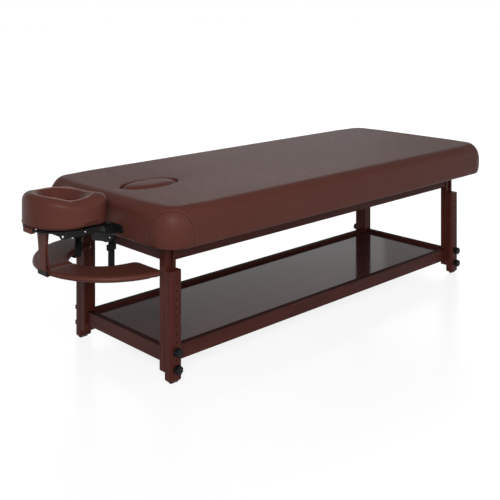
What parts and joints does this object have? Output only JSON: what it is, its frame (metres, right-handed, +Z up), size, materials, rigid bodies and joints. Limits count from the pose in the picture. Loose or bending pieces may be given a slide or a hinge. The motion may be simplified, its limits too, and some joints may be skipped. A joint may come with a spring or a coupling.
{
  "type": "stationary massage table",
  "caption": "Padded treatment table on a wood frame with height-adjustable legs, storage shelf, plugged face hole, tilting face cradle and a hanging armrest.",
  "frame": {"origin": "on the floor, under the middle of the whole object with its face cradle", "axes": "+X along the table from the face cradle to the foot end, +Y across it, +Z up"},
  "size_m": [2.124, 0.762, 0.628],
  "materials": {
    "vinyl": "satin upholstery vinyl",
    "wood": "stained and lacquered hardwood",
    "shelf_wood": "glossy lacquered panel",
    "plywood": "plain birch plywood",
    "dark_board": "dark painted plywood",
    "black_metal": "black powder coat",
    "steel": "bright steel",
    "black_plastic": "moulded black plastic",
    "webbing": "woven black webbing",
    "hook_tape": "black hook tape",
    "strap_vinyl": "upholstery vinyl strap",
    "felt": "dark felt glide"
  },
  "bodies": {
    "table": {"apron_far": "wood", "apron_foot": "wood", "apron_head": "wood", "apron_near": "wood", "brace_foot": "plywood", "brace_head": "plywood", "deck_panel": "plywood", "leg_post_foot_far": "wood", "leg_post_foot_near": "wood", "leg_post_head_far": "wood", "leg_post_head_near": "wood", "rod_socket_far": "black_plastic", "rod_socket_near": "black_plastic", "shelf_panel": "shelf_wood", "shelf_rail_far": "wood", "shelf_rail_foot": "wood", "shelf_rail_head": "wood", "shelf_rail_near": "wood", "top_cushion": "vinyl", "top_rail_far": "plywood", "top_rail_foot": "plywood", "top_rail_head": "plywood", "top_rail_near": "plywood"},
    "leg_head_near": {"leg_extension_head_near": "wood", "foot_glide_head_near": "felt"},
    "upper_knob_head_near": {"upper_knob_head_near": "black_plastic"},
    "lower_knob_head_near": {"lower_knob_head_near": "black_plastic"},
    "leg_head_far": {"leg_extension_head_far": "wood", "foot_glide_head_far": "felt"},
    "upper_knob_head_far": {"upper_knob_head_far": "black_plastic"},
    "lower_knob_head_far": {"lower_knob_head_far": "black_plastic"},
    "leg_foot_near": {"leg_extension_foot_near": "wood", "foot_glide_foot_near": "felt"},
    "upper_knob_foot_near": {"upper_knob_foot_near": "black_plastic"},
    "lower_knob_foot_near": {"lower_knob_foot_near": "black_plastic"},
    "leg_foot_far": {"leg_extension_foot_far": "wood", "foot_glide_foot_far": "felt"},
    "upper_knob_foot_far": {"upper_knob_foot_far": "black_plastic"},
    "lower_knob_foot_far": {"lower_knob_foot_far": "black_plastic"},
    "hole_plug": {"face_hole_plug": "vinyl"},
    "cradle_base": {"outrigger_rod_near": "steel", "outrigger_rod_far": "steel", "cradle_bracket_near": "black_metal", "cradle_bracket_far": "black_metal", "hinge_shaft": "steel"},
    "cradle_platform": {"cradle_platform": "black_metal", "tie_rod": "steel", "hook_pad": "hook_tape"},
    "cam_lever": {"cam_lever": "black_metal"},
    "face_cushion": {"face_cushion": "vinyl"},
    "armrest": {"armrest_board": "dark_board", "armrest_pad_near": "vinyl", "armrest_pad_far": "vinyl", "armrest_strap": "strap_vinyl", "strap_clasp": "black_plastic", "web_strap_near": "webbing", "web_strap_far": "webbing", "web_buckle_near": "black_plastic", "web_buckle_far": "black_plastic"}
  },
  "joints": [
    {"name": "leg_height_head_near", "type": "slide", "parent": "table", "child": "leg_head_near", "axis": [0, 0, 1], "range_m": [-0.1692, 0]},
    {"name": "upper_knob_head_near_turn", "type": "hinge", "parent": "table", "child": "upper_knob_head_near", "pos_m": [-0.6825, -0.2815, 0.1036], "axis": [0, 1, 0], "continuous": true},
    {"name": "lower_knob_head_near_turn", "type": "hinge", "parent": "table", "child": "lower_knob_head_near", "pos_m": [-0.6825, -0.2815, 0.0472], "axis": [0, 1, 0], "continuous": true},
    {"name": "leg_height_head_far", "type": "slide", "parent": "table", "child": "leg_head_far", "axis": [0, 0, 1], "range_m": [-0.1692, 0]},
    {"name": "upper_knob_head_far_turn", "type": "hinge", "parent": "table", "child": "upper_knob_head_far", "pos_m": [-0.6825, 0.2815, 0.1036], "axis": [0, 1, 0], "continuous": true},
    {"name": "lower_knob_head_far_turn", "type": "hinge", "parent": "table", "child": "lower_knob_head_far", "pos_m": [-0.6825, 0.2815, 0.0472], "axis": [0, 1, 0], "continuous": true},
    {"name": "leg_height_foot_near", "type": "slide", "parent": "table", "child": "leg_foot_near", "axis": [0, 0, 1], "range_m": [-0.1692, 0]},
    {"name": "upper_knob_foot_near_turn", "type": "hinge", "parent": "table", "child": "upper_knob_foot_near", "pos_m": [0.9525, -0.2815, 0.1036], "axis": [0, 1, 0], "continuous": true},
    {"name": "lower_knob_foot_near_turn", "type": "hinge", "parent": "table", "child": "lower_knob_foot_near", "pos_m": [0.9525, -0.2815, 0.0472], "axis": [0, 1, 0], "continuous": true},
    {"name": "leg_height_foot_far", "type": "slide", "parent": "table", "child": "leg_foot_far", "axis": [0, 0, 1], "range_m": [-0.1692, 0]},
    {"name": "upper_knob_foot_far_turn", "type": "hinge", "parent": "table", "child": "upper_knob_foot_far", "pos_m": [0.9525, 0.2815, 0.1036], "axis": [0, 1, 0], "continuous": true},
    {"name": "lower_knob_foot_far_turn", "type": "hinge", "parent": "table", "child": "lower_knob_foot_far", "pos_m": [0.9525, 0.2815, 0.0472], "axis": [0, 1, 0], "continuous": true},
    {"name": "hole_plug_lift", "type": "slide", "parent": "table", "child": "hole_plug", "axis": [0, 0, 1], "range_m": [0, 0.12]},
    {"name": "cradle_pull_out", "type": "slide", "parent": "table", "child": "cradle_base", "axis": [-1, 0, 0], "range_m": [0, 0.11]},
    {"name": "platform_tilt", "type": "hinge", "parent": "cradle_base", "child": "cradle_platform", "pos_m": [-0.832, 0, 0.472], "axis": [0, 1, 0], "range_deg": [-10, 15], "deforming": ["web_strap_near", "web_strap_far"]},
    {"name": "cam_lever_swing", "type": "hinge", "parent": "cradle_platform", "child": "cam_lever", "pos_m": [-0.832, 0, 0.472], "axis": [0, 1, 0], "range_deg": [-75, 0]},
    {"name": "face_cushion_lift", "type": "slide", "parent": "cradle_platform", "child": "face_cushion", "axis": [0, 0, 1], "range_m": [0, 0.1]},
    {"name": "armrest_hang", "type": "hinge", "parent": "cradle_platform", "child": "armrest", "pos_m": [-1.004, 0, 0.506], "axis": [0, 1, 0], "range_deg": [-3, 3], "deforming": ["web_strap_near", "web_strap_far"]}
  ],
  "couplings": [
    {"joint": "armrest_hang", "follows": "platform_tilt", "ratio": -0.12}
  ]
}
